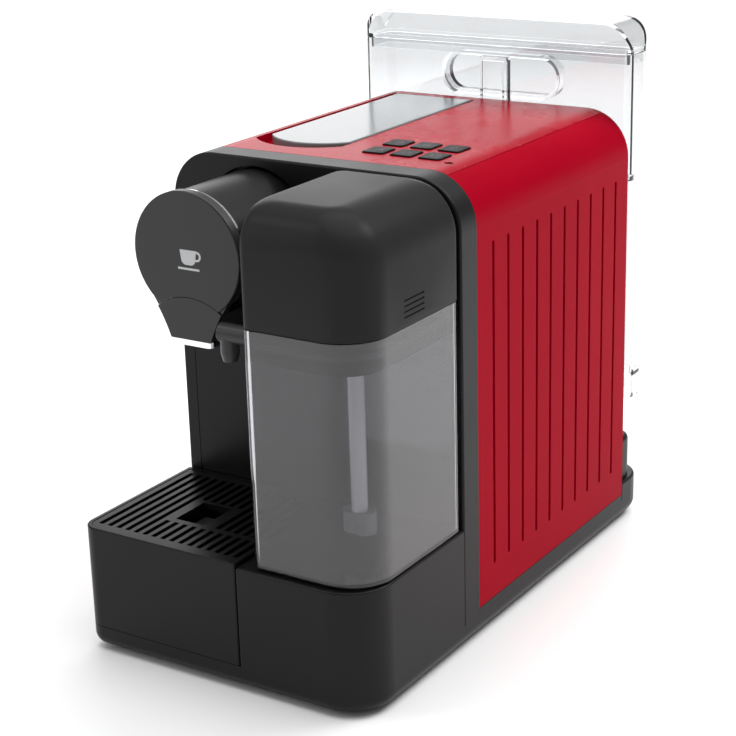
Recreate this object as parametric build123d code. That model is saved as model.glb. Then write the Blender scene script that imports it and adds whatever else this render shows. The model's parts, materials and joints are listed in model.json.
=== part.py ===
from build123d import *
import os

# Capsule espresso machine with a milk container.  Millimetres, X to the right, Y to the back, Z up.
# The origin is on the floor, in the middle of the machine's width and depth.

# Housing
WIDTH = 174.0
DEPTH = 316.0
BODY_TOP = 248.5
CORNER = 26.0
WALL = 2.6
HALF = WIDTH / 2
FRONT = -DEPTH / 2
REAR = DEPTH / 2
FACE_Y = FRONT + 93.0
BAND_Y = FACE_Y + 15.5
BODY_REAR = FRONT + 281.8

# Base
FOOT_RADIUS = 9.0
BASE_BOTTOM = 2.0
DECK_Z = 14.0
SHELL_BOTTOM = 18.0
REAR_DECK_Z = 25.0
PLINTH_X = 11.4
PLINTH_TOP = 67.6
FRONT_CORNER = 24.0
CELL_X = 32.0
CELL_Y = 32.4
CELL_SIZE = 29.0
CELL_TOP = 5.5

# Ribbed sides
GROOVES = 10
GROOVE_PITCH = 15.67
GROOVE_FIRST_Y = -33.0
GROOVE_Z = (37.0, 212.0)
GROOVE_WIDTH = 2.4
GROOVE_DEPTH = 1.2

# Top panel, lever and buttons
PANEL_X = 70.6
PANEL_BOTTOM = 244.7
WELL_FLOOR = 243.8
WELL_LEFT = -62.0
LEVER_X = (-58.0, -8.0)
LEVER_FRONT = -27.0
LEVER_Z = (245.0, 249.2)
PIVOT_Y = 112.5
PIVOT_Z = 246.6
PIN_RADIUS = 1.0
PIN_PLAY = 0.05
BUTTON_X = (15.5, 32.2, 48.9)
BUTTON_Y = (-24.0, -4.5)
BUTTON_SIZE = (13.0, 14.0)
BUTTON_GAP = 0.35
LED_AT = (62.0, -32.7)
LED_RADIUS = 2.2

# Brew head
HEAD_X = -34.0
HEAD_Z = 211.5
HEAD_FRONT = FRONT + 33.5
COVER_RADIUS = 32.3
SLEEVE_RADIUS = 31.0
ARCH_RADIUS = 34.2
SPOUT_BACK = -88.0
STRIP_Z = (165.0, 168.0)
CHUTE_HALF = 18.4
CHUTE_Y = (-20.4, 16.4)
CHAMBER_RADIUS = 25.0
PISTON_RADIUS = 18.8

# Drip tray and capsule bin
TRAY_RIGHT = 11.0
TRAY_TOP = 69.6
TRAY_WALL = 2.4
GRID_Z = (66.0, 69.4)
SLOT_PITCH = 5.7
SLOT_WIDTH = 3.0
SLOT_COUNT = 16
WINDOW = (-49.0, -31.0, -127.0, -103.0)
BIN_X = (-79.0, 14.0)
BIN_Z = (71.4, 158.0)

# Milk container and lid
JUG_X = (19.5, 86.6)
JUG_Y = (-155.0, -66.0)
JUG_Z = (67.9, 190.1)
JUG_WALL = 2.2
LID_Z = (190.4, 249.0)
TUBE_AT = (58.0, -116.0)
SPOUT_PIVOT = (-136.0, 180.0)

# Water tank
TANK_FRONT = 124.3
TANK_STEP_Y = 132.0
TANK_REAR = 152.0
TANK_BOTTOM = 76.0
TANK_FLOOR = 91.0
TANK_STEP_Z = 208.0
TANK_RIM = 279.0
TANK_TOP = 297.0
TANK_WALL = 2.2
VALVE_AT = (30.0, 140.85)


# ---------------------------------------------------------------- helpers

def block(x, y, z):
    """Box between two values on each axis."""
    size = (x[1] - x[0], y[1] - y[0], z[1] - z[0])
    middle = ((x[0] + x[1]) / 2, (y[0] + y[1]) / 2, (z[0] + z[1]) / 2)
    return Pos(*middle) * Box(*size)


def rod(radius, start, end):
    """Cylinder from one point to another."""
    start = Vector(*start)
    end = Vector(*end)
    way = end - start
    base = (Align.CENTER, Align.CENTER, Align.MIN)
    return Plane(origin=start, z_dir=way) * Cylinder(radius, way.length, align=base)


def outline(points, radii):
    """Closed face through the points, each corner rounded by its radius."""
    return make_face(FilletPolyline(*points, radius=radii, close=True).edges())


def upright(face, z):
    """Plan outline extruded from z[0] to z[1]."""
    return extrude(Pos(0, 0, z[0]) * face, amount=z[1] - z[0], dir=(0, 0, 1))


def along_y(face, y):
    """Front-view outline, drawn in X and Z, extruded from y[0] to y[1]."""
    place = Plane(origin=(0, y[1], 0), x_dir=(1, 0, 0), z_dir=(0, -1, 0))
    return extrude(place * face, amount=y[1] - y[0], dir=(0, -1, 0))


def along_x(face, x):
    """Side-view outline, drawn in Y and Z, extruded from x[0] to x[1]."""
    place = Plane(origin=(x[0], 0, 0), x_dir=(0, 1, 0), z_dir=(1, 0, 0))
    return extrude(place * face, amount=x[1] - x[0], dir=(1, 0, 0))


def rounded_box(x, y, z, radius):
    """Upright box with one radius on its four vertical edges."""
    points = [(x[0], y[0]), (x[1], y[0]), (x[1], y[1]), (x[0], y[1])]
    return upright(outline(points, [radius] * 4), z)


def hose(radius, points, radii):
    """Round tube along straight runs joined by arcs."""
    path = FilletPolyline(*points, radius=radii)
    start = Plane(origin=path @ 0, z_dir=path % 0)
    return sweep(start * Circle(radius), path=path)


def write(name, shape):
    """One STEP file per piece, of plain solids."""
    solids = list(shape.solids())
    whole = solids[0] if len(solids) == 1 else Compound(children=solids)
    export_step(whole, f"parts/{name}.step")


# ---------------------------------------------------------------- outlines

def body_face(inset, bottom, top_inset=None):
    """Front view of the housing: straight sides, flat top and round top corners."""
    x = HALF - inset
    top = BODY_TOP - (inset if top_inset is None else top_inset)
    radius = CORNER - inset - (0 if top_inset is None else 3.0)
    return outline([(-x, bottom), (x, bottom), (x, top), (-x, top)], [0, 0, radius, radius])


def base_plan(inset):
    """Plan of the base: large front right corner, small front left one, round back."""
    x = HALF - inset
    points = [(-x, FRONT + inset), (x, FRONT + inset), (x, REAR - inset), (-x, REAR - inset)]
    return outline(points, [9 - inset, FRONT_CORNER - inset, 22 - inset, 22 - inset])


def arch_face(radius):
    """Round-topped recess around the brew head."""
    bottom = 166.0 + ARCH_RADIUS - radius
    disc = Pos(HEAD_X, HEAD_Z) * Circle(radius)
    middle = (bottom + HEAD_Z) / 2
    return disc + Pos(HEAD_X, middle) * Rectangle(2 * radius, HEAD_Z - bottom)


def head_face():
    """Front view of the brew head: a disc that narrows into the coffee spout."""
    side = [(23.2, 189.0), (16.9, 178.5), (12.2, 168.0)]
    right = ThreePointArc(*[(HEAD_X + x, z) for x, z in side])
    left = ThreePointArc(*[(HEAD_X - x, z) for x, z in side])
    top = Line(left @ 0, right @ 0)
    bottom = Line(left @ 1, right @ 1)
    return Pos(HEAD_X, HEAD_Z) * Circle(COVER_RADIUS) + make_face([top, right, bottom, left])


def lever_plan(inset, front, left_side):
    """Plan of the lever plate, or of its well: straight sides and a bowed front."""
    left = left_side + inset
    right = LEVER_X[1] - inset
    rear = PIVOT_Y + 1.6 - 2 * inset + (1.9 if inset < 0 else 0)
    shoulder = front + 12.5
    middle = (left + right) / 2
    bow = ThreePointArc((left, shoulder), (middle, front), (right, shoulder))
    rest = Polyline((right, shoulder), (right, rear), (left, rear), (left, shoulder))
    return make_face([bow] + list(rest.edges()))


def jug_plan(inset):
    """Plan of the milk container: one large corner at the front right."""
    x0 = JUG_X[0] + inset
    x1 = JUG_X[1] - inset
    y0 = JUG_Y[0] + inset
    y1 = JUG_Y[1] - inset
    small = max(5 - inset, 0.8)
    return outline([(x0, y0), (x1, y0), (x1, y1), (x0, y1)], [small, 23 - inset, small, small])


def tank_plan(front, inset):
    """Plan of the water tank, with rounder corners at the back."""
    x = HALF - inset
    y0 = front + inset
    y1 = TANK_REAR - inset
    return outline([(-x, y0), (x, y0), (x, y1), (-x, y1)], [5 - inset, 5 - inset, 9 - inset, 9 - inset])


def pill_face(inset):
    """Front view of the tank's long grip recess."""
    points = [(-41 + inset, 249 + inset), (33 - inset, 249 + inset)]
    points += [(33 - inset, 270 - inset), (-41 + inset, 270 - inset)]
    return outline(points, [10.4 - inset] * 4)


# ---------------------------------------------------------------- base

def foot_places():
    return [(sx * 2 * CELL_X, sy * 4 * CELL_Y) for sx in (-1, 1) for sy in (-1, 1)]


def screw_places():
    return [(sx * 2 * CELL_X, row * CELL_Y) for sx in (-1, 1) for row in (-1, 3)]


def rubber_feet():
    feet = Part()
    for x, y in foot_places():
        foot = rod(FOOT_RADIUS, (x, y, 0), (x, y, 5))
        feet += chamfer(foot.faces().sort_by(Axis.Z)[0].edges(), 0.8)
    return feet


def base_screws():
    screws = Part()
    for x, y in screw_places():
        head = rod(3.5, (x, y, 5.0), (x, y, 7.5))
        drive = rod(1.6, (x, y, 5.0), (x, y, 6.2))
        screws += head - drive + rod(1.5, (x, y, 7.5), (x, y, 23.0))
    return screws


def base_plate():
    plate = upright(base_plan(0), (BASE_BOTTOM, DECK_Z))
    plate = fillet(plate.faces().sort_by(Axis.Z)[0].edges(), 7.0)
    rim = upright(base_plan(0), (DECK_Z, SHELL_BOTTOM - 0.3)) - upright(base_plan(3), (DECK_Z, SHELL_BOTTOM))
    plate += rim & block((-HALF, HALF), (BAND_Y + 0.2, BODY_REAR), (DECK_Z, SHELL_BOTTOM))
    tail = upright(base_plan(0), (DECK_Z, REAR_DECK_Z))
    tail = tail & block((-HALF, HALF), (BODY_REAR + 0.6, REAR), (DECK_Z, REAR_DECK_Z))
    plate += fillet(tail.faces().sort_by(Axis.Z)[-1].edges().sort_by(Axis.Y)[1:], 1.5)
    solid_cells = [(round(x / CELL_X), round(y / CELL_Y)) for x, y in foot_places() + screw_places()]
    half = CELL_SIZE / 2
    for column in range(-2, 3):
        for row in range(-4, 5):
            if (column, row) in solid_cells:
                continue
            x = column * CELL_X
            y = row * CELL_Y
            plate -= block((x - half, x + half), (y - half, y + half), (0, CELL_TOP))
    for x, y in foot_places():
        plate -= rod(FOOT_RADIUS, (x, y, 0), (x, y, 5))
    for x, y in screw_places():
        plate -= rod(4.5, (x, y, 0), (x, y, 5))
        plate -= rod(3.5, (x, y, 5), (x, y, 7.5))
        plate -= rod(1.5, (x, y, 7.5), (x, y, DECK_Z))
    return plate


def base_plinth():
    def plan(inset):
        x = (PLINTH_X + inset, HALF - inset)
        y = (FRONT + inset, FACE_Y - inset)
        points = [(x[0], y[0]), (x[1], y[0]), (x[1], y[1]), (x[0], y[1])]
        return outline(points, [1.2, FRONT_CORNER - inset, 0, 0])

    plinth = upright(plan(0), (DECK_Z, PLINTH_TOP))
    top = plinth.faces().sort_by(Axis.Z)[-1]
    plinth = fillet(top.edges().filter_by(lambda edge: edge.center().Y < FACE_Y - 1), 1.0)
    return plinth - upright(plan(WALL), (DECK_Z, PLINTH_TOP - 2.8))


# ---------------------------------------------------------------- housing

def front_frame():
    frame = along_y(body_face(0, DECK_Z), (FACE_Y, BAND_Y))
    front = frame.faces().sort_by(Axis.Y)[0]
    frame = fillet(front.edges().filter_by(lambda edge: edge.center().Z > DECK_Z + 1), 1.2)
    frame -= along_y(body_face(WALL, DECK_Z - 1), (FACE_Y + 3, BAND_Y))
    frame -= along_y(arch_face(ARCH_RADIUS), (FACE_Y, FACE_Y + 3))
    points = [(BIN_X[0] - 0.4, 66.8), (BIN_X[1] + 0.4, 66.8)]
    points += [(BIN_X[1] + 0.4, BIN_Z[1] + 0.4), (BIN_X[0] - 0.4, BIN_Z[1] + 0.4)]
    frame -= along_y(outline(points, [0, 0, 8.4, 8.4]), (FACE_Y, FACE_Y + 3))
    frame -= rod(5.0, (60, FACE_Y - 1, 215), (60, FACE_Y + 4, 215))
    return frame


def head_surround():
    shell = along_y(arch_face(ARCH_RADIUS), (FACE_Y, FACE_Y + 10))
    shell -= along_y(arch_face(ARCH_RADIUS - 1.6), (FACE_Y, FACE_Y + 8))
    return shell - rod(6.0, (HEAD_X, FACE_Y, HEAD_Z), (HEAD_X, FACE_Y + 12, HEAD_Z))


def shell_boss_places():
    return [(side * 79.5, z) for side in (-1, 1) for z in (34.0, 200.0)]


def outer_shell():
    span = (BAND_Y, BODY_REAR)
    shell = along_y(body_face(0, SHELL_BOTTOM), span)
    shell -= along_y(body_face(WALL, SHELL_BOTTOM - 1, 6.5), span)
    pocket_x = PANEL_X + 0.4
    shell -= block((-pocket_x, pocket_x), (BAND_Y - 1, BODY_REAR + 1), (PANEL_BOTTOM - 0.1, BODY_TOP + 1))
    shell -= block((-65.4, -4.6), (-38.6, 119.2), (240, PANEL_BOTTOM))
    shell -= block((6.0, 58.4), (-34.0, 6.0), (240, PANEL_BOTTOM))
    shell -= rod(LED_RADIUS + 0.6, (*LED_AT, 240), (*LED_AT, PANEL_BOTTOM))
    for x, z in shell_boss_places():
        shell += block((x - 5, x + 5), (BODY_REAR - 15, BODY_REAR - 3), (z - 4.5, z + 4.5))
        shell -= rod(1.5, (x, BODY_REAR - 13, z), (x, BODY_REAR - 2, z))
    radius = GROOVE_WIDTH / 2
    points = [(-radius, GROOVE_Z[0]), (radius, GROOVE_Z[0]), (radius, GROOVE_Z[1]), (-radius, GROOVE_Z[1])]
    face = outline(points, [radius * 0.98] * 4)
    for index in range(GROOVES):
        y = GROOVE_FIRST_Y + index * GROOVE_PITCH
        shell -= Pos(0, y, 0) * along_x(face, (-HALF - 1, -HALF + GROOVE_DEPTH))
        shell -= Pos(0, y, 0) * along_x(face, (HALF - GROOVE_DEPTH, HALF + 1))
    return shell


def top_panel():
    crown = along_y(body_face(0, SHELL_BOTTOM), (BAND_Y + 0.4, BODY_REAR))
    panel = crown & block((-PANEL_X, PANEL_X), (BAND_Y, BODY_REAR), (PANEL_BOTTOM, BODY_TOP + 1))
    well = lever_plan(-0.6, LEVER_FRONT - 8.5, WELL_LEFT)
    tub = block((-64.8, -5.2), (-38.0, 118.6), (WELL_FLOOR - 2.0, PANEL_BOTTOM))
    panel = panel + tub - upright(well, (WELL_FLOOR, BODY_TOP + 1))
    slot_x = (HEAD_X - CHUTE_HALF, HEAD_X + CHUTE_HALF)
    panel -= block(slot_x, CHUTE_Y, (WELL_FLOOR - 3, BODY_TOP))
    half_x = BUTTON_SIZE[0] / 2 + BUTTON_GAP
    half_y = BUTTON_SIZE[1] / 2 + BUTTON_GAP
    for x in BUTTON_X:
        for y in BUTTON_Y:
            hole = ((x - half_x, x + half_x), (y - half_y, y + half_y), (PANEL_BOTTOM - 1, BODY_TOP + 1))
            panel -= rounded_box(*hole, 2.3)
    panel -= rod(LED_RADIUS, (*LED_AT, PANEL_BOTTOM - 1), (*LED_AT, BODY_TOP + 1))
    return panel - lever_pin()


def rear_screws():
    screws = Part()
    for x, z in shell_boss_places():
        head = rod(3.0, (x, BODY_REAR - 2, z), (x, BODY_REAR, z))
        drive = rod(1.4, (x, BODY_REAR - 1.2, z), (x, BODY_REAR, z))
        screws += head - drive + rod(1.5, (x, BODY_REAR - 12, z), (x, BODY_REAR - 2, z))
    return screws


def rear_cover():
    cover = along_y(body_face(2.9, SHELL_BOTTOM - 0.2, 6.8), (BODY_REAR - 3, BODY_REAR))
    for x, z in shell_boss_places():
        cover -= rod(3.0, (x, BODY_REAR - 2, z), (x, BODY_REAR, z))
        cover -= rod(1.5, (x, BODY_REAR - 4, z), (x, BODY_REAR, z))
    cover -= rod(4.0, (VALVE_AT[0], BODY_REAR - 4, 50), (VALVE_AT[0], BODY_REAR + 1, 50))
    for index in range(6):
        z = 100.0 + 9.0 * index
        for side in (-1, 1):
            cover -= block((side * 50 - 16, side * 50 + 16), (BODY_REAR - 4, BODY_REAR + 1), (z, z + 3))
    return cover


def tank_dock():
    y0 = BODY_REAR + 0.3
    bump_points = [(-84, y0), (84, y0), (84, 147), (-84, 147)]
    bump = upright(outline(bump_points, [0, 0, 12, 12]), (REAR_DECK_Z, 51.0))
    rim = bump.faces().sort_by(Axis.Z)[-1].edges().filter_by(lambda edge: edge.center().Y > y0 + 1)
    bump = fillet(rim, 3.0)
    neck = rounded_box((-62, 62), (y0, 147), (50.0, 72.0), 3.0)
    plug = rounded_box((-62, 62), (TANK_STEP_Y + 2.7, 147), (71.0, TANK_FLOOR - 2.5), 3.0)
    dock = bump + neck + plug
    dock -= block((-81, 81), (y0 + 2.5, 144.5), (REAR_DECK_Z - 1, 48.0))
    dock -= block((-59.5, 59.5), (y0 + 2.5, 144.5), (47.0, 69.5))
    x, y = VALVE_AT
    dock -= rod(4.6, (x, y, 80), (x, y, 90))
    dock -= rod(3.0, (x, y, 69), (x, y, 80))
    dock += rod(1.0, (x, y, 76.6), (x, y, TANK_FLOOR - 2.3)) + block((x - 3.1, x + 3.1), (y - 0.7, y + 0.7), (76.6, 79))
    dock -= rod(4.0, (x, y0 - 1, 50), (x, y0 + 4, 50))
    dock -= rod(6.5, (-66, 140, 38), (-66, 148, 38))
    return dock


def dock_seal():
    x, y = VALVE_AT
    return rod(4.6, (x, y, 83), (x, y, 87)) - rod(3.6, (x, y, 83), (x, y, 87))


def cable_gland():
    gland = rod(6.5, (-66, 141, 38), (-66, 147, 38)) + rod(8.5, (-66, 147, 38), (-66, 149, 38))
    nose = Plane(origin=(-66, 149, 38), z_dir=(0, 1, 0))
    nose = nose * Cone(6.0, 4.8, 4.0, align=(Align.CENTER, Align.CENTER, Align.MIN))
    return gland + nose - rod(3.3, (-66, 140, 38), (-66, 154, 38))


# ---------------------------------------------------------------- controls

def lever_pin():
    return rod(PIN_RADIUS, (WELL_LEFT - 2.4, PIVOT_Y, PIVOT_Z), (LEVER_X[1] + 2.4, PIVOT_Y, PIVOT_Z))


def lever_plate():
    plate = upright(lever_plan(0, LEVER_FRONT, LEVER_X[0]), LEVER_Z)
    rear_low = plate.edges().filter_by(Axis.X).sort_by(lambda edge: edge.center().Y * 10 - edge.center().Z)[-1]
    plate = fillet(rear_low, PIVOT_Z - LEVER_Z[0] - 0.02)
    plate = fillet(plate.faces().sort_by(Axis.Z)[-1].edges(), 0.8)
    start = (LEVER_X[0] - 1, PIVOT_Y, PIVOT_Z)
    end = (LEVER_X[1] + 1, PIVOT_Y, PIVOT_Z)
    return plate - rod(PIN_RADIUS + PIN_PLAY, start, end)


def button(x, y):
    half_x = BUTTON_SIZE[0] / 2
    half_y = BUTTON_SIZE[1] / 2
    cap = rounded_box((x - half_x, x + half_x), (y - half_y, y + half_y), (240.5, 249.3), 2.0)
    cap = fillet(cap.faces().sort_by(Axis.Z)[-1].edges(), 0.7)
    cap -= rounded_box((x - 5, x + 5), (y - 5.5, y + 5.5), (240.5, 247.6), 1.5)
    return cap + rod(2.5, (x, y, 237.5), (x, y, 247.8))


def button_frame():
    frame = block((1, 64), (-38, 10), (236.6, 238.4))
    for x in BUTTON_X:
        for y in BUTTON_Y:
            frame -= rod(2.9, (x, y, 236), (x, y, 239))
    for x in (3, 62):
        for y in (-36, 8):
            frame += rod(1.8, (x, y, 234.2), (x, y, 242.0))
    return frame


def status_light():
    return rod(LED_RADIUS, (*LED_AT, 242), (*LED_AT, BODY_TOP - 0.8))


def control_board():
    board = block((1, 64), (-38, 10), (232.6, 234.2))
    for x in BUTTON_X:
        for y in BUTTON_Y:
            board += block((x - 3, x + 3), (y - 3, y + 3), (234.2, 235.7))
    return board


# ---------------------------------------------------------------- brew head

def seam_face(drop):
    """Front view of everything below the arched seam between disc and spout."""
    arc = ThreePointArc((HEAD_X - 24, 180 - drop), (HEAD_X, 190.2 - drop), (HEAD_X + 24, 180 - drop))
    rest = Polyline((HEAD_X + 24, 180 - drop), (HEAD_X + 24, 150), (HEAD_X - 24, 150), (HEAD_X - 24, 180 - drop))
    return make_face([arc] + list(rest.edges()))


def head_emblem():
    """Plain cup on a saucer."""
    x = HEAD_X + 1.5
    z = HEAD_Z - 1.0
    span = (HEAD_FRONT - 0.2, HEAD_FRONT + 0.5)
    cup = outline([(x - 5, z + 4), (x - 4, z - 3.6), (x + 4, z - 3.6), (x + 5, z + 4)], [0, 3, 3, 0])
    handle = Pos(x + 5.2, z + 1.2) * (Circle(2.6) - Circle(1.5))
    saucer = Pos(x, z - 5.6) * Rectangle(13.0, 1.1)
    return along_y(cup + handle, span) + along_y(saucer, span)


def head_cover():
    disc = rod(COVER_RADIUS, (HEAD_X, HEAD_FRONT, HEAD_Z), (HEAD_X, HEAD_FRONT + 5, HEAD_Z))
    disc = fillet(disc.faces().sort_by(Axis.Y)[0].edges(), 0.8)
    cover = disc + along_y(head_face(), (HEAD_FRONT + 0.8, HEAD_FRONT + 5))
    cover -= along_y(seam_face(0), (HEAD_FRONT - 1, HEAD_FRONT + 6))
    return cover - head_emblem()


def spout_block():
    spout = along_y(head_face() & seam_face(0.35), (HEAD_FRONT, SPOUT_BACK))
    tunnel_start = (HEAD_X, HEAD_FRONT + 5, HEAD_Z)
    spout -= rod(COVER_RADIUS, tunnel_start, (HEAD_X, SPOUT_BACK + 1, HEAD_Z))
    return spout - block((HEAD_X - 8, HEAD_X + 8), (-118, -93), (160, 185))


def head_ring():
    start = HEAD_FRONT + 5
    ring = rod(SLEEVE_RADIUS + 0.8, (HEAD_X, start, HEAD_Z), (HEAD_X, start + 2, HEAD_Z))
    return ring - rod(27.0, (HEAD_X, start - 1, HEAD_Z), (HEAD_X, start + 3, HEAD_Z))


def head_sleeve():
    start = HEAD_FRONT + 7
    end = FACE_Y + 8
    sleeve = rod(SLEEVE_RADIUS, (HEAD_X, start, HEAD_Z), (HEAD_X, end, HEAD_Z))
    sleeve -= rod(SLEEVE_RADIUS - 2.2, (HEAD_X, start, HEAD_Z), (HEAD_X, end, HEAD_Z))
    return sleeve - rod(5.0, (HEAD_X, -104, 170), (HEAD_X, -104, HEAD_Z))


def outlet_strip():
    strip = rounded_box((HEAD_X - 12.2, HEAD_X + 12.2), (HEAD_FRONT + 0.3, SPOUT_BACK), STRIP_Z, 2.5)
    for x in (HEAD_X - 5, HEAD_X + 5):
        strip -= rod(2.6, (x, -104, 160), (x, -104, 170))
    return strip


def coffee_duct():
    duct = rod(6.0, (HEAD_X, FACE_Y + 10, HEAD_Z), (HEAD_X, -110, HEAD_Z))
    return duct + rod(5.0, (HEAD_X, -104, 172), (HEAD_X, -104, HEAD_Z))


def brew_chamber():
    mouth = CHUTE_Y[0] - 3.6
    back = FACE_Y + 10
    chamber = rod(CHAMBER_RADIUS, (HEAD_X, back, HEAD_Z), (HEAD_X, mouth, HEAD_Z))
    return chamber - rod(19.5, (HEAD_X, back + 10, HEAD_Z), (HEAD_X, mouth + 1, HEAD_Z))


def brew_piston():
    front = CHUTE_Y[0] - 11.6
    piston = rod(PISTON_RADIUS, (HEAD_X, front, HEAD_Z), (HEAD_X, front + 14, HEAD_Z))
    piston = chamfer(piston.faces().sort_by(Axis.Y)[0].edges(), 1.5)
    piston += rod(8.0, (HEAD_X, front + 14, HEAD_Z), (HEAD_X, front + 36, HEAD_Z))
    return piston + rod(PISTON_RADIUS, (HEAD_X, front + 36, HEAD_Z), (HEAD_X, front + 42, HEAD_Z))


def brew_bracket():
    bracket = block((-66, 16.5), (-54, 62), (176, 179))
    bracket -= block((-53, -15), (-20, 16), (175, 180))
    for x in ((HEAD_X - 21.7, HEAD_X - 19.3), (HEAD_X + 19.3, HEAD_X + 21.7)):
        bracket += block(x, (-23.6, 62), (178, 222))
    saddle = block((HEAD_X - 15, HEAD_X + 15), (-54, -24), (178, 196))
    chamber_end = (HEAD_X, -20, HEAD_Z)
    return bracket + saddle - rod(CHAMBER_RADIUS, (HEAD_X, -60, HEAD_Z), chamber_end)


def capsule_guide():
    outer = 1.8
    x = (HEAD_X - CHUTE_HALF, HEAD_X + CHUTE_HALF)
    chute = block((x[0] - outer, x[1] + outer), (CHUTE_Y[0] - outer, CHUTE_Y[1] + outer), (232, WELL_FLOOR - 2))
    return chute - block(x, CHUTE_Y, (231, WELL_FLOOR))


# ---------------------------------------------------------------- inside

def inner_chassis():
    chassis = block((-80, 80), (BAND_Y + 3, BODY_REAR - 5), (DECK_Z, DECK_Z + 3))
    chassis += block((16.5, 19.0), (BAND_Y + 3, BODY_REAR - 5), (DECK_Z, 230))
    chassis += block((-82, 17), (33, 36), (DECK_Z, 176))
    chassis += block((-82, -79.8), (BAND_Y + 3, 36), (DECK_Z, 64))
    for x, y in screw_places():
        chassis += rod(4.0, (x, y, DECK_Z), (x, y, 26))
        chassis -= rod(1.5, (x, y, DECK_Z - 1), (x, y, 23))
    return chassis


def pump():
    body = rod(11.0, (52, -20, 52), (52, 63, 52))
    coil = along_y(Pos(52, 52) * RectangleRounded(36, 36, 4), (-2, 43))
    return body + coil


def pump_mounts():
    mounts = Part()
    for y in (-17, 53):
        arm = block((44, 60), (y, y + 7), (DECK_Z + 3, 52))
        ring = rod(15, (52, y, 52), (52, y + 7, 52))
        mounts += arm + ring - rod(11.0, (52, y - 1, 52), (52, y + 8, 52))
    return mounts


def thermoblock():
    core = rounded_box((34, 72), (-42, 32), (140, 185), 6)
    return core + rod(6, (45, 32, 160), (45, 38, 160)) + rod(6, (60, 32, 160), (60, 38, 160))


def meter_case():
    return rod(13, (52, 98, 40), (52, 98, 58))


def flow_meter():
    return meter_case() + rod(5, (52, 98, DECK_Z + 3), (52, 98, 40))


def suction_hose():
    x, y = VALVE_AT
    return hose(2.8, [(x, y, 76), (x, y, 50), (x, 98, 50), (41, 98, 50)], [9, 7]) - meter_case()


def feed_hose():
    return rod(3.0, (52, 63, 50), (52, 87, 50)) - meter_case()


def pressure_hose():
    return hose(2.0, [(52, -20, 52), (52, -34, 52), (52, -34, 140)], [10])


def steam_pipe():
    return hose(2.0, [(60, -20, 185), (60, -20, 215), (60, FACE_Y + 13, 215)], [10])


def steam_port():
    port = rod(5.0, (60, FACE_Y - 0.6, 215), (60, FACE_Y + 13, 215))
    port += rod(8.0, (60, FACE_Y + 3, 215), (60, FACE_Y + 6, 215))
    return port - rod(1.8, (60, FACE_Y - 1, 215), (60, FACE_Y + 11, 215))


def main_board():
    board = block((22.0, 23.6), (34, 112), (128, 222))
    board += block((23.6, 38), (44, 64), (140, 160))
    board += block((23.6, 33), (76, 92), (176, 192))
    board += rod(7, (23.6, 96, 148), (41, 96, 148))
    for y in (40, 106):
        for z in (134, 216):
            board += rod(2.5, (19.0, y, z), (22.0, y, z))
    return board


# ---------------------------------------------------------------- cup side

def drip_tray():
    def plan(inset):
        x = (-HALF + inset, TRAY_RIGHT - inset)
        y = (FRONT + inset, FACE_Y - 1.0 - inset)
        points = [(x[0], y[0]), (x[1], y[0]), (x[1], y[1]), (x[0], y[1])]
        return outline(points, [9 - inset, 1.0, 1.0, 1.0])

    tray = upright(plan(0), (DECK_Z + 0.3, TRAY_TOP))
    tray = fillet(tray.faces().sort_by(Axis.Z)[-1].edges(), 0.8)
    tray -= upright(plan(TRAY_WALL), (GRID_Z[0] - 0.3, TRAY_TOP + 1))
    tray -= upright(plan(TRAY_WALL + 2), (DECK_Z + 0.3 + TRAY_WALL, GRID_Z[0]))
    shelf = block((BIN_X[0] + 1, BIN_X[1] - 1), (FACE_Y - 0.5, 28), (PLINTH_TOP + 0.3, BIN_Z[0]))
    tongue = block((-60, -8), (FACE_Y - 2.0, FACE_Y + 8), (67.0, 68.6))
    return tray + (shelf + tongue)


def drip_grid():
    x = (-HALF + TRAY_WALL + 0.4, TRAY_RIGHT - TRAY_WALL - 0.4)
    y = (FRONT + TRAY_WALL + 0.4, FACE_Y - 1.0 - TRAY_WALL - 0.4)
    points = [(x[0], y[0]), (x[1], y[0]), (x[1], y[1]), (x[0], y[1])]
    grid = upright(outline(points, [6, 1, 1, 1]), GRID_Z)
    front_y = y[0] + 4.5
    back_y = y[1] - 4.5
    bar_y = WINDOW[2] - 3.6
    low = GRID_Z[0] - 1
    high = GRID_Z[1] + 1
    for index in range(SLOT_COUNT):
        left = x[0] + 3.4 + index * SLOT_PITCH
        slot = (left, left + SLOT_WIDTH)
        beside = slot[1] < WINDOW[0] - 2
        if beside:
            grid -= block(slot, (front_y, back_y), (low, high))
            continue
        grid -= block(slot, (front_y, bar_y), (low, high))
        behind_window = slot[0] < WINDOW[1] + 2
        start = WINDOW[3] + 2.6 if behind_window else WINDOW[2]
        grid -= block(slot, (start, back_y), (low, high))
    return grid - block(WINDOW[0:2], WINDOW[2:4], (low, high))


def tray_float():
    x = (WINDOW[0] + 3.0, WINDOW[1] - 3.0)
    y = (WINDOW[2] + 3.0, WINDOW[3] - 3.0)
    cap = rounded_box(x, y, (61.0, 63.0), 1.0)
    body = rounded_box((x[0] + 1, x[1] - 1), (y[0] + 1, y[1] - 1), (48.0, 61.0), 1.0)
    return cap + body - rounded_box((x[0] + 2.5, x[1] - 2.5), (y[0] + 2.5, y[1] - 2.5), (48.0, 59.0), 1.0)


def capsule_bin():
    points = [(BIN_X[0], BIN_Z[0]), (BIN_X[1], BIN_Z[0]), (BIN_X[1], BIN_Z[1]), (BIN_X[0], BIN_Z[1])]
    front = along_y(outline(points, [0, 0, 8, 8]), (FACE_Y, FACE_Y + 2.5))
    box = block((BIN_X[0] + 3, BIN_X[1] - 3), (FACE_Y + 2.5, 28), (BIN_Z[0], 150))
    return front + box - block((BIN_X[0] + 5, BIN_X[1] - 5), (FACE_Y + 2.5, 26), (BIN_Z[0] + 2, 160))


# ---------------------------------------------------------------- milk side

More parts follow.
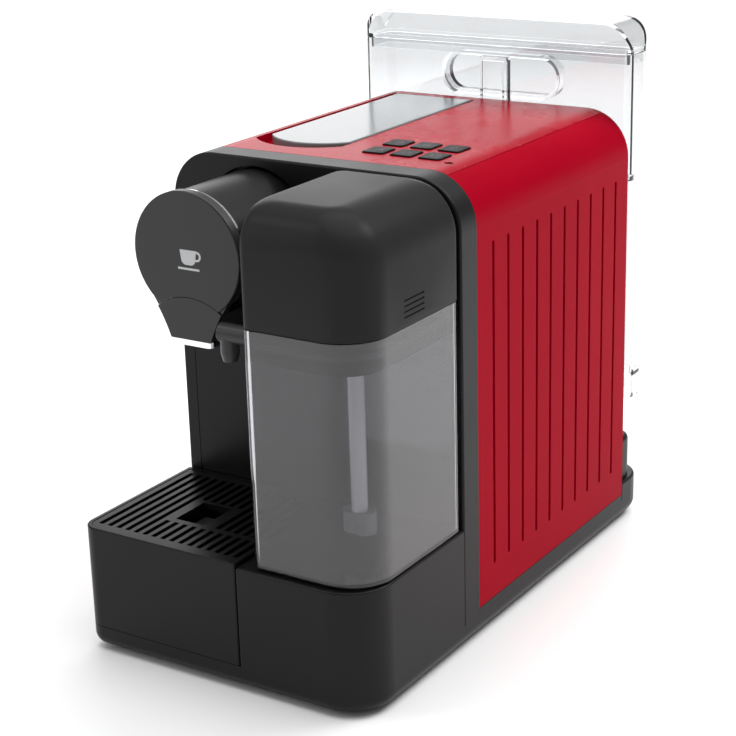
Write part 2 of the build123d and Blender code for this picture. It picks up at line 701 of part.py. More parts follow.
def milk_container():
    jug = upright(jug_plan(0), JUG_Z)
    jug = fillet(jug.faces().sort_by(Axis.Z)[0].edges(), 1.8)
    return jug - upright(jug_plan(JUG_WALL), (JUG_Z[0] + 2.5, JUG_Z[1] + 1))


def lid_solid(inset, bottom):
    """Lid volume: plan, front view and side view outlines combined."""
    x = (JUG_X[0] + inset, HALF - inset)
    y = (JUG_Y[0] + inset, JUG_Y[1] - inset)
    top = LID_Z[1] - inset
    front_points = [(x[0], bottom), (x[1], bottom), (x[1], top), (x[0], top)]
    side_points = [(y[0], bottom), (y[1], bottom), (y[1], top), (y[0], top)]
    plan_points = [(x[0], y[0]), (x[1], y[0]), (x[1], y[1]), (x[0], y[1])]
    small = 5 - inset
    plan = upright(outline(plan_points, [small, 23.4 - inset, small, small]), (bottom - 5, top + 5))
    front = along_y(outline(front_points, [0, 0, CORNER - inset, 4 - inset]), (y[0] - 5, y[1] + 5))
    side = along_x(outline(side_points, [0, 0, 6 - inset, 20 - inset]), (x[0] - 5, x[1] + 5))
    return plan & (front & side)


def milk_lid():
    lid = lid_solid(0, LID_Z[0]) - lid_solid(WALL, LID_Z[0])
    collar_z = (177.0, LID_Z[0] + 2)
    collar = upright(jug_plan(JUG_WALL + 0.5), collar_z)
    hollow = upright(jug_plan(JUG_WALL + 2.5), collar_z)
    groove = upright(jug_plan(JUG_WALL + 0.5), (181, 184)) - upright(jug_plan(JUG_WALL + 1.6), (181, 184))
    lid += collar - hollow - groove
    lid += upright(jug_plan(1.5), (LID_Z[0], LID_Z[0] + 2))
    y, z = SPOUT_PIVOT
    lid += block((15.0, 19.2), (y - 7, y + 7), (z - 6, LID_Z[0] + 0.1))
    lid += block((15.0, JUG_X[0] + 1), (y - 7, y + 7), (LID_Z[0], LID_Z[0] + 7))
    lid -= rod(2.46, (14, y, z), (18.8, y, z))
    lid -= rod(4.25, (*TUBE_AT, 175), (*TUBE_AT, 195))
    lid -= rod(2.4, (60, JUG_Y[1] - 4, 215), (60, JUG_Y[1] + 1, 215))
    for index in range(4):
        z = 203.4 - 2.7 * index
        lid -= block((HALF - 0.6, HALF + 1), (-118.0, -100.0), (z - 0.45, z + 0.45))
    return lid


def lid_seal():
    band = (181, 184)
    return upright(jug_plan(JUG_WALL + 0.3), band) - upright(jug_plan(JUG_WALL + 1.6), band)


def milk_frother():
    body = rounded_box((32, 76), (-142, -76), (LID_Z[0] + 2, 232), 6)
    body -= rod(4.25, (*TUBE_AT, 190), (*TUBE_AT, 196))
    return body + rod(4.0, (60, -76, 215), (60, JUG_Y[1] - WALL, 215))


def suction_tube():
    tube = rod(4.25, (*TUBE_AT, 86), (*TUBE_AT, 196))
    return tube - rod(2.9, (*TUBE_AT, 85), (*TUBE_AT, 197))


def suction_foot():
    x, y = TUBE_AT
    foot = rod(5.6, (x - 3.4, y, 82), (x - 3.4, y, 93)) + rod(5.6, (x + 3.4, y, 82), (x + 3.4, y, 93))
    foot -= rod(4.25, (x, y, 86), (x, y, 94))
    return foot - rod(2.9, (x, y, 81), (x, y, 87))


def milk_spout():
    y, z = SPOUT_PIVOT
    nozzle_x = -1.0
    spout = rod(4.9, (nozzle_x - 4.6, y, z), (14.7, y, z))
    spout += rod(4.6, (nozzle_x, y, z - 10), (nozzle_x, y, z))
    tip = Plane(origin=(nozzle_x, y, z - 10), z_dir=(0, 0, -1))
    spout += tip * Cone(4.6, 3.6, 4.0, align=(Align.CENTER, Align.CENTER, Align.MIN))
    spout += rod(2.4, (14.7, y, z), (18.4, y, z))
    return spout - rod(2.2, (nozzle_x, y, z - 15), (nozzle_x, y, z - 2))


# ---------------------------------------------------------------- water side

def water_tank():
    tank = upright(tank_plan(TANK_FRONT, 0), (TANK_STEP_Z, TANK_RIM))
    tank += upright(tank_plan(TANK_STEP_Y, 0), (TANK_BOTTOM, TANK_STEP_Z))
    tank -= upright(tank_plan(TANK_FRONT, TANK_WALL), (TANK_STEP_Z + TANK_WALL, TANK_RIM))
    tank -= upright(tank_plan(TANK_STEP_Y, TANK_WALL), (TANK_FLOOR, TANK_STEP_Z + TANK_WALL))
    tank -= upright(tank_plan(TANK_STEP_Y, TANK_WALL), (TANK_BOTTOM, TANK_FLOOR - TANK_WALL))
    bar_y = TANK_FRONT + TANK_WALL
    tank += block((-8.6, 8.6), (bar_y - 1, bar_y + 5), (226, 272.5))
    tank -= block((-6.4, 6.4), (TANK_FRONT, bar_y + 3), (228.2, 270.3))
    recess_y = TANK_REAR - 8.5
    tank += along_y(pill_face(-TANK_WALL), (recess_y - TANK_WALL, TANK_REAR - 1))
    tank -= along_y(pill_face(0), (recess_y, TANK_REAR + 1))
    x, y = VALVE_AT
    tank += rod(3.2, (x, y, 81), (x, y, TANK_FLOOR - 1))
    return tank - rod(2.0, (x, y, 80), (x, y, TANK_FLOOR + 1))


def tank_lid():
    def dome(inset):
        x = HALF - inset
        top = TANK_TOP - inset
        points = [(-x, TANK_RIM + 0.4), (x, TANK_RIM + 0.4), (x, top), (-x, top)]
        front = along_y(outline(points, [0, 0, 17 - inset, 17 - inset]), (TANK_FRONT, TANK_REAR))
        return front & upright(tank_plan(TANK_FRONT, inset), (TANK_RIM, TANK_TOP))

    flange_top = TANK_RIM + 2.4
    cavity = dome(TANK_WALL) & block((-HALF, HALF), (TANK_FRONT, TANK_REAR), (flange_top, TANK_TOP))
    lid = dome(0) - cavity
    skirt_z = (TANK_RIM - 5.5, flange_top)
    lid += upright(tank_plan(TANK_FRONT, TANK_WALL + 0.5), skirt_z)
    return lid - upright(tank_plan(TANK_FRONT, TANK_WALL + 2.3), (skirt_z[0] - 1, flange_top + 0.1))


def tank_valve():
    x, y = VALVE_AT
    return rod(1.3, (x, y, TANK_FLOOR - 2.2), (x, y, 94)) + rod(4.2, (x, y, 94), (x, y, 95.6))


# ---------------------------------------------------------------- all pieces

def main():
    os.makedirs("parts", exist_ok=True)
    makers = [
        rubber_feet, base_screws, base_plate, base_plinth,
        front_frame, head_surround, outer_shell, top_panel, rear_screws, rear_cover,
        tank_dock, dock_seal, cable_gland,
        lever_pin, lever_plate, button_frame, status_light, control_board,
        head_emblem, head_cover, spout_block, head_ring, head_sleeve, outlet_strip,
        coffee_duct, brew_chamber, brew_piston, brew_bracket, capsule_guide,
        inner_chassis, pump, pump_mounts, thermoblock, flow_meter,
        suction_hose, feed_hose, pressure_hose, steam_pipe, steam_port, main_board,
        drip_tray, drip_grid, tray_float, capsule_bin,
        milk_container, milk_lid, lid_seal, milk_frother, suction_tube, suction_foot, milk_spout,
        water_tank, tank_lid, tank_valve,
    ]
    for maker in makers:
        write(maker.__name__, maker())
    names = {BUTTON_Y[0]: "front", BUTTON_Y[1]: "rear"}
    for y in BUTTON_Y:
        for x, column in zip(BUTTON_X, ("left", "middle", "right")):
            write(f"button_{names[y]}_{column}", button(x, y))


main()
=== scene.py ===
import json
import math

import bmesh
import bpy
from mathutils import Matrix, Vector


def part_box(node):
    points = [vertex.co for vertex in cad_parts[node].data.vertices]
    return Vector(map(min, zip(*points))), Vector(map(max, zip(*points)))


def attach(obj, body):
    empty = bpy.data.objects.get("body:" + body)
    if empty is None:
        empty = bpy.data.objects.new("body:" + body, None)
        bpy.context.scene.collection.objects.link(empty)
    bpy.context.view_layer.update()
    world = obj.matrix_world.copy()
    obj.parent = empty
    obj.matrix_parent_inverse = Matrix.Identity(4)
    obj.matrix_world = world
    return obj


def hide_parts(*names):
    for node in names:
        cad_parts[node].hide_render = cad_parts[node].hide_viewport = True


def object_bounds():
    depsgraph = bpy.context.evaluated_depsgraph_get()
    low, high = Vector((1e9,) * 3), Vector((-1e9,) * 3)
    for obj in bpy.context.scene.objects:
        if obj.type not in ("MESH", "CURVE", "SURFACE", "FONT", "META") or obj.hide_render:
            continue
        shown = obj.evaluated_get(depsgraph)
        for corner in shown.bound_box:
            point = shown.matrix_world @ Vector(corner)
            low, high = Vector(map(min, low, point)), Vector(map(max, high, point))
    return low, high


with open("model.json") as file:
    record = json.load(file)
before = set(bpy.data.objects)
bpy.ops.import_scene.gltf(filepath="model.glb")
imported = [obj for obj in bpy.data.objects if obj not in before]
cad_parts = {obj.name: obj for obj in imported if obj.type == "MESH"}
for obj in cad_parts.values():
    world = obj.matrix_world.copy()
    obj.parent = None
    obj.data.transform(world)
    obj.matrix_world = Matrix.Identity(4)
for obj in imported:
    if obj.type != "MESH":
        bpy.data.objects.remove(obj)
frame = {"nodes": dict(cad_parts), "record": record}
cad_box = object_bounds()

MM = 0.001

# Camera: front right, a little above, long lens
CAMERA_AT = (0.5156, -0.8111, 0.4501)
CAMERA_AZIMUTH = 32.96
CAMERA_ELEVATION = 18.88
CAMERA_ROLL = -1.60
CAMERA_LENS = 90.5
SENSOR_WIDTH = 36.0

# Studio
FLOOR_SIZE = 120.0
FLOOR_WHITE = (0.93, 0.93, 0.93)
WORLD_STRENGTH = 0.32
CEILING_FROM = (0.12, 0.2, 0.95)
CEILING_SPREAD = 70.0
CEILING_POWER = 2.8
SOFTBOXES = {
    # name: (where it hangs, what it is aimed at, width and height, watts)
    "softbox_back": ((-0.85, 1.35, 0.62), (0.0, 0.0, 0.24), (1.3, 0.6), 4.6),
    "softbox_left": ((-1.0, -1.1, 0.7), (0.0, 0.0, 0.15), (0.3, 0.9), 3.0),
    "softbox_front": ((-0.62, -0.5, 1.12), (0.05, -0.12, 0.24), (0.45, 0.28), 1.6),
    "floor_pool": ((0.55, 0.5, 0.9), (0.42, 0.42, 0.0), (0.4, 0.4), 4.0),
}

# Part of a noise pattern that is stretched over a range of values
PATTERN_LOW = 0.3
PATTERN_HIGH = 0.7

# Surface patterns of moulded plastic, as noise scales and heights
FLOW_SCALE = 14.0
FLOW_STRETCH = (1.0, 1.0, 0.35)
HANDLED_SCALE = 45.0
HANDLED_CHANGE = 0.012
GRAIN_SCALE = 2200.0
GRAIN_DEPTH = 0.004 * MM
GRAIN_STRENGTH = 0.2
WAVE_SCALE = 30.0
WAVE_STRENGTH = 0.03
WAVE_DEPTH = 0.01 * MM

# Sockets of the node that mixes two colours
MIX_FACTOR = 0
MIX_FIRST = 6
MIX_SECOND = 7
MIX_RESULT = 2

# Meshes
SHARP_ABOVE = 40.0                   # degrees between faces
BEVEL_ABOVE = 50.0

# Milk lid
LID_GAP = 0.3 * MM                   # above the container's rim
LID_ROLL = {"left": 4.0 * MM, "right": 26.0 * MM, "front": 20.0 * MM, "rear": 6.0 * MM}
LID_RIM_ROUNDING = 0.5 * MM
LID_FRONT_RIGHT = 23.4 * MM          # plan radius of the large corner, at the rim
LID_SMALL_CORNER = 5.0 * MM
LID_ROLL_STEPS = 30
LID_RIM_SLOPE = 0.7                  # inward per unit of height, at the rounded rim
LID_CORNER_STEPS = 14
GROOVE_COUNT = 4
GROOVE_TOP = 45.6 * MM               # below the lid's top
GROOVE_PITCH = 2.7 * MM
GROOVE_HALF_HEIGHT = 0.45 * MM
GROOVE_DEPTH = 0.6 * MM
GROOVE_FROM_REAR = (52.0 * MM, 34.0 * MM)
COLLAR_OUTER = 2.7 * MM              # insets from the container's outside
COLLAR_GROOVE = 3.8 * MM
COLLAR_INNER = 4.7 * MM
COLLAR_CHAMFER = (0.6 * MM, 0.8 * MM)
COLLAR_OVERLAP = 0.6 * MM
JUG_FRONT_RIGHT = 23.0 * MM
HOOK_FROM_FRONT = 19.0 * MM
HOOK_HALF_WIDTH = 7.0 * MM
HOOK_HEIGHT = 7.0 * MM
HOOK_THICKNESS = 4.2 * MM
HOOK_FOOT = 174.0 * MM
HOOK_INTO_LID = 1.0 * MM
HOOK_ROUNDING = 0.9 * MM

# Painted marks on the keys
MARK_LINE = 0.34 * MM
MARK_SUNK = 0.05 * MM
MARK_PROUD = 0.03 * MM


# ---------------------------------------------------------------- material helpers

class Shader:
    """A Principled material and short calls for the nodes that feed it."""

    def __init__(self, name, color, roughness, metallic=0.0):
        self.material = bpy.data.materials.new(name)
        self.material.use_nodes = True
        self.tree = self.material.node_tree
        self.surface = self.tree.nodes["Principled BSDF"]
        self.set(Base_Color=(*color, 1.0), Roughness=roughness, Metallic=metallic)
        self.color = color
        self.roughness = roughness
        self.place = self.node("ShaderNodeTexCoord").outputs["Object"]
        self.height = None

    def node(self, kind, **settings):
        made = self.tree.nodes.new(kind)
        for key, value in settings.items():
            setattr(made, key, value)
        return made

    def link(self, source, target):
        self.tree.links.new(source, target)

    def set(self, **values):
        for key, value in values.items():
            self.surface.inputs[key.replace("_", " ")].default_value = value

    def stretched(self, scale):
        mapping = self.node("ShaderNodeMapping")
        mapping.inputs["Scale"].default_value = scale
        self.link(self.place, mapping.inputs["Vector"])
        return mapping.outputs["Vector"]

    def noise(self, scale, detail=4.0, rough=0.55, stretch=None):
        noise = self.node("ShaderNodeTexNoise")
        noise.inputs["Scale"].default_value = scale
        noise.inputs["Detail"].default_value = detail
        noise.inputs["Roughness"].default_value = rough
        self.link(self.stretched(stretch) if stretch else self.place, noise.inputs["Vector"])
        return noise.outputs["Fac"]

    def cells(self, scale):
        voronoi = self.node("ShaderNodeTexVoronoi")
        voronoi.inputs["Scale"].default_value = scale
        self.link(self.place, voronoi.inputs["Vector"])
        return voronoi.outputs["Distance"]

    def spread(self, source, low, high):
        """Stretch the middle of a pattern over a range of values."""
        remap = self.node("ShaderNodeMapRange")
        remap.inputs["From Min"].default_value = PATTERN_LOW
        remap.inputs["From Max"].default_value = PATTERN_HIGH
        remap.inputs["To Min"].default_value = low
        remap.inputs["To Max"].default_value = high
        self.link(source, remap.inputs["Value"])
        return remap.outputs["Result"]

    def vary_color(self, source, change):
        """Base colour drifts a little between two close tones."""
        mix = self.node("ShaderNodeMix", data_type="RGBA")
        low = [max(0.0, c * (1 - change)) for c in self.color]
        high = [min(1.0, c * (1 + change)) for c in self.color]
        mix.inputs[MIX_FIRST].default_value = (*low, 1.0)
        mix.inputs[MIX_SECOND].default_value = (*high, 1.0)
        self.link(self.spread(source, 0.0, 1.0), mix.inputs[MIX_FACTOR])
        self.link(mix.outputs[MIX_RESULT], self.surface.inputs["Base Color"])

    def vary_roughness(self, source, change):
        low = max(0.02, self.roughness - change)
        high = min(1.0, self.roughness + change)
        self.link(self.spread(source, low, high), self.surface.inputs["Roughness"])

    def bump(self, source, distance, strength):
        """Lay one more relief over those already there."""
        bump = self.node("ShaderNodeBump")
        bump.inputs["Distance"].default_value = distance
        bump.inputs["Strength"].default_value = strength
        self.link(source, bump.inputs["Height"])
        if self.height:
            self.link(self.height, bump.inputs["Normal"])
        self.height = bump.outputs["Normal"]
        self.link(self.height, self.surface.inputs["Normal"])


def moulded(name, color, roughness, grain=GRAIN_SCALE, depth=GRAIN_DEPTH, coat=0.0, level=0.5):
    """Injection-moulded plastic: fine grain, faint flow marks and slight waviness."""
    shader = Shader(name, color, roughness)
    shader.vary_color(shader.noise(FLOW_SCALE, 3.0, stretch=FLOW_STRETCH), 0.05)
    shader.vary_roughness(shader.noise(HANDLED_SCALE, 2.0), HANDLED_CHANGE)
    shader.bump(shader.noise(grain, 2.0, 0.7), depth, GRAIN_STRENGTH)
    shader.bump(shader.noise(WAVE_SCALE, 1.0), WAVE_DEPTH, WAVE_STRENGTH)
    shader.set(Coat_Weight=coat, Coat_Roughness=0.12, Specular_IOR_Level=level)
    return shader.material


def clear(name, color, roughness, ior, clearness=1.0):
    """Clear or smoked plastic: faint haze, smears and slight waviness."""
    shader = Shader(name, color, roughness)
    shader.vary_color(shader.noise(9.0, 2.0), 0.03)
    smears = shader.noise(22.0, 2.0, 0.5, stretch=(1.0, 1.0, 0.4))
    haze = shader.spread(smears, roughness * 0.6, roughness * 1.8)
    shader.link(haze, shader.surface.inputs["Roughness"])
    shader.bump(shader.noise(16.0, 1.0), WAVE_DEPTH, 0.1)
    shader.set(Transmission_Weight=clearness, IOR=ior)
    return shader.material


def metal(name, color, roughness, stretch=None, grain=700.0):
    """Metal with fine brushing or a nearly polished face."""
    shader = Shader(name, color, roughness, 1.0)
    shader.vary_color(shader.noise(60.0, 4.0), 0.05)
    change = min(0.08, roughness * 0.5)
    shader.vary_roughness(shader.noise(grain, 3.0, 0.6, stretch), change)
    shader.bump(shader.noise(grain, 2.0, 0.6, stretch), 0.01 * MM, 0.4)
    return shader.material


def circuit_board(name, color, roughness):
    """Lacquered board with a cellular relief of tracks and joints."""
    shader = Shader(name, color, roughness)
    shader.vary_color(shader.cells(240.0), 0.35)
    shader.vary_roughness(shader.noise(300.0), 0.1)
    shader.bump(shader.cells(420.0), 0.12 * MM, 0.5)
    return shader.material


def floor_material():
    shader = Shader("studio_floor", FLOOR_WHITE, 0.55)
    shader.vary_color(shader.noise(3.0, 2.0), 0.006)
    return shader.material


def make_materials():
    """Every finish by name: its maker, colour, roughness and whatever sets it apart."""
    finishes = {
        # Two copies of one red: the sides a little darker as painted shade, the top panel a little
        # lighter and glossier as painted highlight.
        "red_plastic": (moulded, (0.33, 0.0005, 0.012), 0.3, {"level": 0.015}),
        "red_top": (moulded, (0.34, 0.0005, 0.012), 0.27, {"level": 0.045}),
        "black_plastic": (moulded, (0.007, 0.0065, 0.007), 0.35, {"level": 0.17}),
        "lid_plastic": (moulded, (0.022, 0.0215, 0.022), 0.34, {"level": 0.05}),
        "dark_plastic": (moulded, (0.02, 0.019, 0.02), 0.34, {"level": 0.35}),
        "button_plastic": (moulded, (0.006, 0.004, 0.004), 0.35,
                           {"depth": 0.006 * MM, "level": 0.05}),
        "grey_plastic": (moulded, (0.35, 0.35, 0.36), 0.45, {}),
        "silver_plastic": (moulded, (0.2, 0.209, 0.216), 0.18, {"coat": 0.1, "level": 0.22}),
        "emblem_silver": (moulded, (0.5, 0.51, 0.52), 0.2, {"coat": 0.1, "level": 0.3}),
        "chrome": (metal, (0.88, 0.88, 0.9), 0.1, {}),
        "smoke_clear": (clear, (0.58, 0.58, 0.61), 0.02, {"ior": 1.55, "clearness": 0.99}),
        "clear_plastic": (clear, (0.86, 0.87, 0.88), 0.015, {"ior": 1.5}),
        "milk_tube": (moulded, (0.95, 0.95, 0.96), 0.25, {"coat": 0.4, "level": 0.8}),
        "rubber": (moulded, (0.02, 0.02, 0.02), 0.75, {"grain": 900.0, "depth": 0.06 * MM}),
        "silicone": (moulded, (0.62, 0.62, 0.6), 0.5, {}),
        "steel": (metal, (0.6, 0.6, 0.62), 0.3, {"stretch": (1.0, 1.0, 12.0)}),
        "aluminium": (metal, (0.66, 0.66, 0.68), 0.42, {"grain": 350.0}),
        "circuit_board": (circuit_board, (0.02, 0.16, 0.06), 0.35, {}),
        "light_lens": (clear, (0.3, 0.01, 0.02), 0.15, {"ior": 1.45}),
        "mark_paint": (moulded, (0.22, 0.21, 0.21), 0.5, {"level": 0.1}),
    }
    return {name: make(name, color, roughness, **rest)
            for name, (make, color, roughness, rest) in finishes.items()}


# ---------------------------------------------------------------- CAD nodes

def slot_of():
    return {part["node"]: part["material_slot"] for part in frame["record"]["subparts"]}


def is_button(node):
    return node.startswith("button_") and node != "button_frame"


def finish_of(node, slot):
    """Most nodes wear their slot's finish; keys are matt, the top panel glossier than the sides and
    a little lighter red as a painted highlight.
    """
    # The top panel's red is a lighter copy of the side red: painted highlight.
    special = {"top_panel": "red_top", "head_emblem": "emblem_silver"}
    if node in special:
        return special[node]
    if is_button(node):
        return "button_plastic"
    return slot


def dress_cad(materials):
    for node, slot in slot_of().items():
        mesh = frame["nodes"][node].data
        mesh.materials.clear()
        mesh.materials.append(materials[finish_of(node, slot)])


# ---------------------------------------------------------------- mesh helpers

def mesh_object(name, points, faces, material, smooth_angle=SHARP_ABOVE):
    mesh = bpy.data.meshes.new(name)
    mesh.from_pydata([tuple(point) for point in points], [], faces)
    mesh.validate()
    work = bmesh.new()
    work.from_mesh(mesh)
    bmesh.ops.recalc_face_normals(work, faces=work.faces)
    work.to_mesh(mesh)
    work.free()
    mesh.shade_smooth()
    mesh.set_sharp_from_angle(angle=math.radians(smooth_angle))
    mesh.materials.append(material)
    made = bpy.data.objects.new(name, mesh)
    bpy.context.collection.objects.link(made)
    return made


def rounded_ring(x, y, radii, z, steps=10):
    """Plan outline at one height; radii are front left, front right, rear right, rear left."""
    corners = [(x[0], y[0], 1, 1, 180), (x[1], y[0], -1, 1, 270),
               (x[1], y[1], -1, -1, 0), (x[0], y[1], 1, -1, 90)]
    ring = []
    for (corner_x, corner_y, side_x, side_y, start), radius in zip(corners, radii):
        for index in range(steps + 1):
            turn = math.radians(start + 90.0 * index / steps)
            ring.append(Vector((corner_x + side_x * radius + radius * math.cos(turn),
                                corner_y + side_y * radius + radius * math.sin(turn), z)))
    return ring


def loft(name, rings, material, closed=False, smooth_angle=SHARP_ABOVE):
    """Skin over rings of equal length: capped at both ends, or joined end to end."""
    size = len(rings[0])
    points = [point for ring in rings for point in ring]
    faces = []
    for index in range(len(rings) if closed else len(rings) - 1):
        low = index * size
        high = (index + 1) % len(rings) * size
        for step in range(size):
            after = (step + 1) % size
            faces.append((low + step, low + after, high + after, high + step))
    if not closed:
        faces.append(tuple(range(size - 1, -1, -1)))
        faces.append(tuple(range((len(rings) - 1) * size, len(rings) * size)))
    return mesh_object(name, points, faces, material, smooth_angle)


def stroke(path, width, low, high, closed=False):
    """Flat ribbon along a plan path, as points and faces."""
    count = len(path)
    points = []
    for index, point in enumerate(path):
        before = path[index - 1] if closed or index else point
        after = path[(index + 1) % count] if closed or index < count - 1 else point
        along = (Vector(after) - Vector(before)).normalized()
        across = Vector((-along.y, along.x)) * width / 2
        for side in (across, -across):
            points.append((point[0] + side.x, point[1] + side.y, high))
            points.append((point[0] + side.x, point[1] + side.y, low))
    faces = []
    for index in range(count if closed else count - 1):
        a = 4 * index
        b = 4 * ((index + 1) % count)
        faces += [(a, a + 2, b + 2, b), (a, b, b + 1, a + 1), (a + 2, a + 3, b + 3, b + 2)]
    return points, faces


def join_meshes(name, meshes, material):
    """One object from several lists of points and faces."""
    points = []
    faces = []
    for made, sides in meshes:
        start = len(points)
        points += made
        faces += [tuple(start + index for index in side) for side in sides]
    return mesh_object(name, points, faces, material)


def box_mesh(low, high):
    points = [(x, y, z) for x in (low[0], high[0])
              for y in (low[1], high[1]) for z in (low[2], high[2])]
    faces = [(0, 1, 3, 2), (4, 6, 7, 5), (0, 4, 5, 1), (2, 3, 7, 6), (0, 2, 6, 4), (1, 5, 7, 3)]
    return points, faces


def add_bevel(piece, width):
    bevel = piece.modifiers.new("rounded edges", "BEVEL")
    bevel.width = width
    bevel.segments = 3
    bevel.limit_method = "ANGLE"
    bevel.angle_limit = math.radians(BEVEL_ABOVE)
    return piece


def cut_boxes(piece, boxes):
    """Grooves cut out of a piece."""
    meshes = [box_mesh(low, high) for low, high in boxes]
    cutter = join_meshes(piece.name + "_cutter", meshes, piece.data.materials[0])
    cut = piece.modifiers.new("grooves", "BOOLEAN")
    cut.object = cutter
    cut.operation = "DIFFERENCE"
    cut.solver = "EXACT"
    bpy.context.view_layer.update()
    view = bpy.context.evaluated_depsgraph_get()
    carved = bpy.data.meshes.new_from_object(piece.evaluated_get(view))
    piece.modifiers.clear()
    piece.data = carved
    carved.shade_smooth()
    carved.set_sharp_from_angle(angle=math.radians(SHARP_ABOVE))
    bpy.data.objects.remove(cutter)


# ---------------------------------------------------------------- milk lid

def lid_ring(z, bottom):
    """Plan outline of the hood at one height, drawn in where the top edge rolls over."""
    low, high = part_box("milk_lid")
    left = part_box("milk_container")[0].x
    inset = {}
    for side, radius in LID_ROLL.items():
        rise = max(0.0, z - (high.z - radius))
        inset[side] = radius - math.sqrt(max(0.0, radius * radius - rise * rise))
    rim = max(0.0, LID_RIM_ROUNDING - (z - bottom)) * LID_RIM_SLOPE
    x = (left + rim + inset["left"], high.x - rim - inset["right"])
    y = (low.y + rim + inset["front"], high.y - rim - inset["rear"])
    drawn_in = (inset["front"] + inset["right"]) / 2
    front_right = max(LID_SMALL_CORNER, LID_FRONT_RIGHT - 0.8 * drawn_in)
    front_left = LID_SMALL_CORNER + 0.5 * (inset["front"] + inset["left"]) / 2
    radii = (front_left, front_right, LID_SMALL_CORNER, LID_SMALL_CORNER)
    return rounded_ring(x, y, radii, z, LID_CORNER_STEPS)


def lid_shell(material):
    """Smooth hood: the top edge rolls over further at the front and right."""
    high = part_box("milk_lid")[1]
    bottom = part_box("milk_container")[1].z + LID_GAP
    roll = LID_ROLL["right"]
    heights = [bottom, bottom + 0.3 * LID_RIM_ROUNDING, bottom + LID_RIM_ROUNDING]
    for step in range(LID_ROLL_STEPS + 1):
        turn = math.radians(90.0 * step / LID_ROLL_STEPS)
        heights.append(high.z - roll + roll * math.sin(turn))
    rings = [lid_ring(z, bottom) for z in heights]
    shell = loft("lid_shell", rings, material, smooth_angle=50.0)
    front, rear = [high.y - distance for distance in GROOVE_FROM_REAR]
    grooves = []
    for index in range(GROOVE_COUNT):
        z = high.z - (GROOVE_TOP + GROOVE_PITCH * index)
        grooves.append(((high.x - GROOVE_DEPTH, front, z - GROOVE_HALF_HEIGHT),
                        (high.x + 1.0 * MM, rear, z + GROOVE_HALF_HEIGHT)))
    cut_boxes(shell, grooves)
    return shell


def lid_collar(material):
    """Neck that drops into the container, with a groove for the seal."""
    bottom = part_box("milk_lid")[0].z
    jug_low, jug_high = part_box("milk_container")
    seal_low, seal_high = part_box("lid_seal")
    top = jug_high.z + COLLAR_OVERLAP
    profile = [(COLLAR_OUTER + COLLAR_CHAMFER[0], bottom),
               (COLLAR_OUTER, bottom + COLLAR_CHAMFER[1]),
               (COLLAR_OUTER, seal_low.z), (COLLAR_GROOVE, seal_low.z),
               (COLLAR_GROOVE, seal_high.z), (COLLAR_OUTER, seal_high.z),
               (COLLAR_OUTER, top), (COLLAR_INNER, top), (COLLAR_INNER, bottom)]
    rings = []
    for inset, z in profile:
        x = (jug_low.x + inset, jug_high.x - inset)
        y = (jug_low.y + inset, jug_high.y - inset)
        small = max(0.8 * MM, LID_SMALL_CORNER - inset)
        rings.append(rounded_ring(x, y, (small, JUG_FRONT_RIGHT - inset, small, small), z))
    return loft("lid_collar", rings, material, closed=True, smooth_angle=35.0)


def lid_hinge_block(material):
    """Hooked block at the lid's left that carries the milk spout."""
    lid_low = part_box("milk_lid")[0]
    jug_low, jug_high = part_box("milk_container")
    left = lid_low.x
    right = jug_low.x + HOOK_INTO_LID
    seam = jug_high.z + LID_GAP
    middle = lid_low.y + HOOK_FROM_FRONT
    outline = [(left, HOOK_FOOT), (left + HOOK_THICKNESS, HOOK_FOOT),
               (left + HOOK_THICKNESS, seam), (right, seam),
               (right, seam + HOOK_HEIGHT), (left, seam + HOOK_HEIGHT)]
    rings = [[Vector((x, middle + side * HOOK_HALF_WIDTH, z)) for x, z in outline]
             for side in (-1, 1)]
    return add_bevel(loft("lid_hinge_block", rings, material), HOOK_ROUNDING)


def milk_lid(materials):
    finish = materials["lid_plastic"]
    pieces = [lid_shell(finish), lid_collar(finish), lid_hinge_block(finish)]
    for piece in pieces:
        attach(piece, "milk_lid")
        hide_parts("milk_lid")


# ---------------------------------------------------------------- button marks

def arc(center, radius, start, end, steps=12):
    path = []
    for index in range(steps + 1):
        turn = math.radians(start + (end - start) * index / steps)
        path.append((center[0] + radius * math.cos(turn), center[1] + radius * math.sin(turn)))
    return path


def cup_paths(half, height, handle=True):
    """Side view of a cup, drawn flat."""
    lean = half * 0.25
    bowl = [(-half, height / 2), (-half + lean, -height / 2),
            (half - lean, -height / 2), (half, height / 2)]
    paths = [(bowl, True)]
    if handle:
        paths.append((arc((half - lean / 2, 0.1), height * 0.3, -80, 80, 8), False))
    return paths


def wave(y):
    return ([(-2.0 + 0.4 * step, y + 0.35 * math.sin(step * 1.3)) for step in range(11)], False)


def mark_paths(node):
    """Plain pictograms: cup sizes in the front row; milk, glass and drop in the rear row."""
    marks = {
        "button_front_left": cup_paths(1.5, 2.0),
        "button_front_middle": cup_paths(1.9, 2.8),
        "button_front_right": cup_paths(2.2, 3.8),
        "button_rear_left": cup_paths(2.0, 2.6) + [wave(2.2)],
        "button_rear_middle": cup_paths(1.7, 4.2, False) + [wave(0.4)],
        "button_rear_right": [(arc((0.0, -0.6), 1.6, 140, 400, 14) + [(0.0, 2.6)], True)],
    }
    return marks[node]


def button_marks(materials):
    for node in filter(is_button, slot_of()):
        low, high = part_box(node)
        middle = (low + high) / 2
        strokes = []
        for path, closed in mark_paths(node):
            path = [(middle.x + x * MM, middle.y + y * MM) for x, y in path]
            strokes.append(stroke(path, MARK_LINE, high.z - MARK_SUNK, high.z + MARK_PROUD, closed))
        marks = join_meshes(node + "_mark", strokes, materials["mark_paint"])
        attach(marks, node)


# ---------------------------------------------------------------- studio

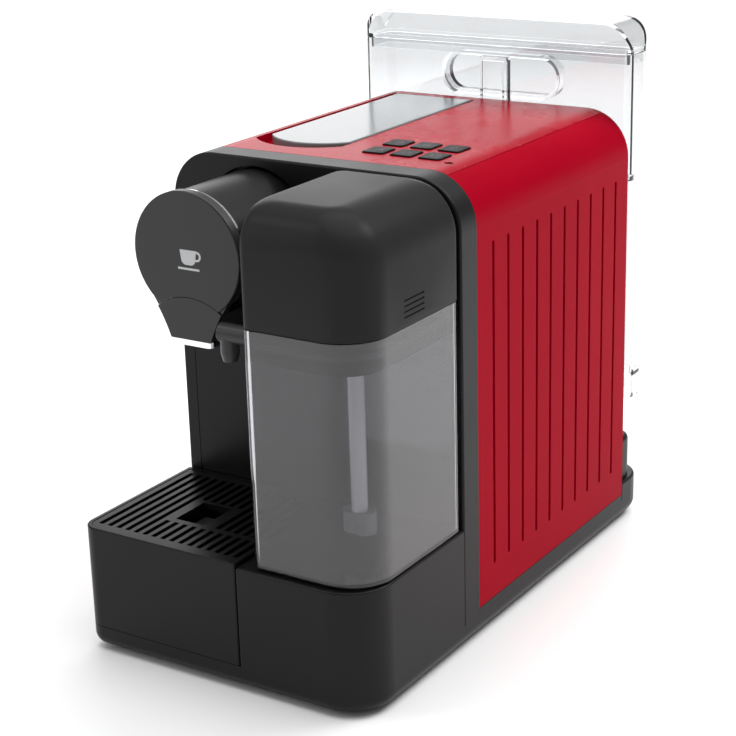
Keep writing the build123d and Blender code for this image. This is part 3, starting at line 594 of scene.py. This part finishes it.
def studio():
    bpy.ops.mesh.primitive_plane_add(size=FLOOR_SIZE, location=(0.0, 0.0, cad_box[0][2]))
    floor = bpy.context.object
    floor.name = "studio_floor"
    floor.data.materials.append(floor_material())
    world = bpy.data.worlds.new("studio_world")
    bpy.context.scene.world = world
    world.use_nodes = True
    background = world.node_tree.nodes["Background"]
    background.inputs["Color"].default_value = (1.0, 1.0, 1.0, 1.0)
    background.inputs["Strength"].default_value = WORLD_STRENGTH


def add_lamp(name, data, turn, at=(0.0, 0.0, 0.0)):
    lamp = bpy.data.objects.new(name, data)
    bpy.context.collection.objects.link(lamp)
    lamp.location = at
    lamp.rotation_euler = turn.to_euler()


def area_light(name, at, toward, size, power):
    data = bpy.data.lights.new(name, "AREA")
    data.shape = "RECTANGLE"
    data.size, data.size_y = size
    data.energy = power
    add_lamp(name, data, (Vector(toward) - Vector(at)).to_track_quat("-Z", "Y"), at)


def sky_light(name, direction, spread, power):
    """Even light over the whole floor, as from a large ceiling."""
    data = bpy.data.lights.new(name, "SUN")
    data.energy = power
    data.angle = math.radians(spread)
    add_lamp(name, data, Vector(direction).to_track_quat("Z", "Y"))


def lights():
    sky_light("ceiling", CEILING_FROM, CEILING_SPREAD, CEILING_POWER)
    for name, (at, toward, size, power) in SOFTBOXES.items():
        area_light(name, at, toward, size, power)


def camera():
    azimuth = math.radians(CAMERA_AZIMUTH)
    elevation = math.radians(CAMERA_ELEVATION)
    back = Vector((math.sin(azimuth) * math.cos(elevation),
                   -math.cos(azimuth) * math.cos(elevation),
                   math.sin(elevation)))
    right = Vector((math.cos(azimuth), math.sin(azimuth), 0.0))
    turn = Matrix.Rotation(math.radians(CAMERA_ROLL), 3, back)
    right = turn @ right
    up = back.cross(right)
    data = bpy.data.cameras.new("photo_camera")
    data.lens = CAMERA_LENS
    data.sensor_width = SENSOR_WIDTH
    data.clip_start = 0.01
    eye = bpy.data.objects.new("photo_camera", data)
    bpy.context.collection.objects.link(eye)
    axes = Matrix((right, up, back)).transposed()
    eye.matrix_world = Matrix.Translation(Vector(CAMERA_AT)) @ axes.to_4x4()
    bpy.context.scene.camera = eye
    bpy.context.scene.view_settings.view_transform = "Standard"


def main():
    camera()
    lights()
    studio()
    materials = make_materials()
    dress_cad(materials)
    milk_lid(materials)
    button_marks(materials)


main()
